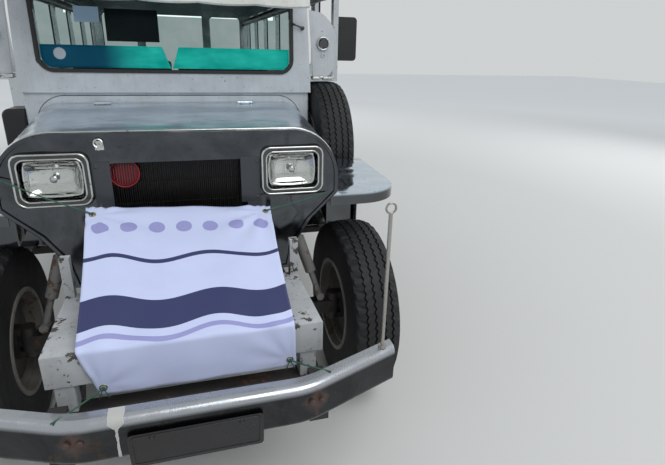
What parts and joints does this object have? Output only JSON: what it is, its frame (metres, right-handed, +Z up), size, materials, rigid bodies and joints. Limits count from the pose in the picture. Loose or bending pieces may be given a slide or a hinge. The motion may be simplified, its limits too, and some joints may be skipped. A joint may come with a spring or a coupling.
{
  "type": "jeepney",
  "caption": "Long open-sided passenger jeepney with a flat grille, twin rear wheels, side benches, an opening hood, turning wheels and steered front axle.",
  "frame": {"origin": "on the ground, halfway along the vehicle on its centre line", "axes": "+X to the vehicle's left, +Y to its rear, +Z up"},
  "size_m": [2.134, 5.913, 2.1312],
  "materials": {
    "chassis_paint": "satin",
    "bumper_steel": "worn aluminium paint",
    "plate_metal": "dull",
    "chrome": "polished",
    "polished_steel": "polished",
    "black_core": "matt",
    "lamp_lens": "clear",
    "body_white": "gloss",
    "body_skin": "polished sheet",
    "banner_cloth": "plastic sheet",
    "cast": "oily",
    "dark_steel": "dull",
    "tyre": "worn",
    "rim_paint": "dull",
    "gasket_rubber": "matt",
    "window_glass": "tinted top",
    "floor_plate": "checkered",
    "seat_vinyl": "vinyl",
    "dash_plastic": "matt",
    "curtain_vinyl": "rolled vinyl",
    "tail_red": "lamp plastic",
    "case_black": "matt"
  },
  "bodies": {
    "body": {"chassis_frame": "chassis_paint", "front_bumper": "bumper_steel", "number_plate": "plate_metal", "marker_rod": "polished_steel", "front_platform": "floor_plate", "banner": "banner_cloth", "grille_shell": "polished_steel", "radiator": "black_core", "headlamp_bezels": "chrome", "headlamp_lenses": "lamp_lens", "front_fenders": "polished_steel", "engine": "cast", "front_axle": "dark_steel", "rear_axle": "dark_steel", "leaf_springs": "dark_steel", "shock_absorbers": "dark_steel", "spare_tyre": "tyre", "spare_rim": "rim_paint", "cowl": "body_white", "windshield_panel": "body_white", "windshield_gasket": "gasket_rubber", "windshield_glass": "window_glass", "visor": "body_white", "roof": "body_white", "side_wings": "body_white", "mirrors": "dash_plastic", "body_side_left": "body_skin", "body_side_right": "body_skin", "rear_wall": "body_skin", "floor": "floor_plate", "cab_seat": "seat_vinyl", "benches": "seat_vinyl", "dashboard": "dash_plastic", "running_boards": "floor_plate", "side_case": "case_black", "fuel_tank": "dark_steel", "exhaust": "cast", "rear_step": "floor_plate", "tail_lamps": "tail_red", "rain_curtains": "curtain_vinyl"},
    "hood": {"hood": "polished_steel"},
    "knuckle_left": {"knuckle_left": "cast"},
    "knuckle_right": {"knuckle_right": "cast"},
    "wheel_front_left": {"tyre_front_left": "tyre", "rim_front_left": "rim_paint"},
    "wheel_front_right": {"tyre_front_right": "tyre", "rim_front_right": "rim_paint"},
    "wheel_rear_left": {"tyre_rear_left": "tyre", "rim_rear_left": "rim_paint"},
    "wheel_rear_right": {"tyre_rear_right": "tyre", "rim_rear_right": "rim_paint"},
    "steering_wheel": {"steering_wheel": "dash_plastic"}
  },
  "joints": [
    {"name": "steer_left", "type": "hinge", "parent": "body", "child": "knuckle_left", "pos_m": [0.63, -2.0835, 0.388], "axis": [0, 0, 1], "range_deg": [-28, 28]},
    {"name": "steer_right", "type": "hinge", "parent": "body", "child": "knuckle_right", "pos_m": [-0.63, -2.0835, 0.388], "axis": [0, 0, 1], "range_deg": [-28, 28]},
    {"name": "wheel_front_left_spin", "type": "hinge", "parent": "knuckle_left", "child": "wheel_front_left", "pos_m": [0.72, -2.0835, 0.388], "axis": [1, 0, 0], "continuous": true},
    {"name": "wheel_front_right_spin", "type": "hinge", "parent": "knuckle_right", "child": "wheel_front_right", "pos_m": [-0.72, -2.0835, 0.388], "axis": [1, 0, 0], "continuous": true},
    {"name": "wheel_rear_left_spin", "type": "hinge", "parent": "body", "child": "wheel_rear_left", "pos_m": [0.67, 1.3165, 0.388], "axis": [1, 0, 0], "continuous": true},
    {"name": "wheel_rear_right_spin", "type": "hinge", "parent": "body", "child": "wheel_rear_right", "pos_m": [-0.67, 1.3165, 0.388], "axis": [1, 0, 0], "continuous": true},
    {"name": "hood_hinge", "type": "hinge", "parent": "body", "child": "hood", "pos_m": [0, -1.2035, 1.2205], "axis": [-1, 0, 0], "range_deg": [0, 50]},
    {"name": "steering_wheel_turn", "type": "hinge", "parent": "body", "child": "steering_wheel", "pos_m": [0.37, -0.6835, 1.27], "axis": [0, 0.866, 0.5], "range_deg": [-400, 400]}
  ],
  "couplings": [
    {"joint": "steer_right", "follows": "steer_left", "ratio": 1},
    {"joint": "steering_wheel_turn", "follows": "steer_left", "ratio": 14}
  ]
}
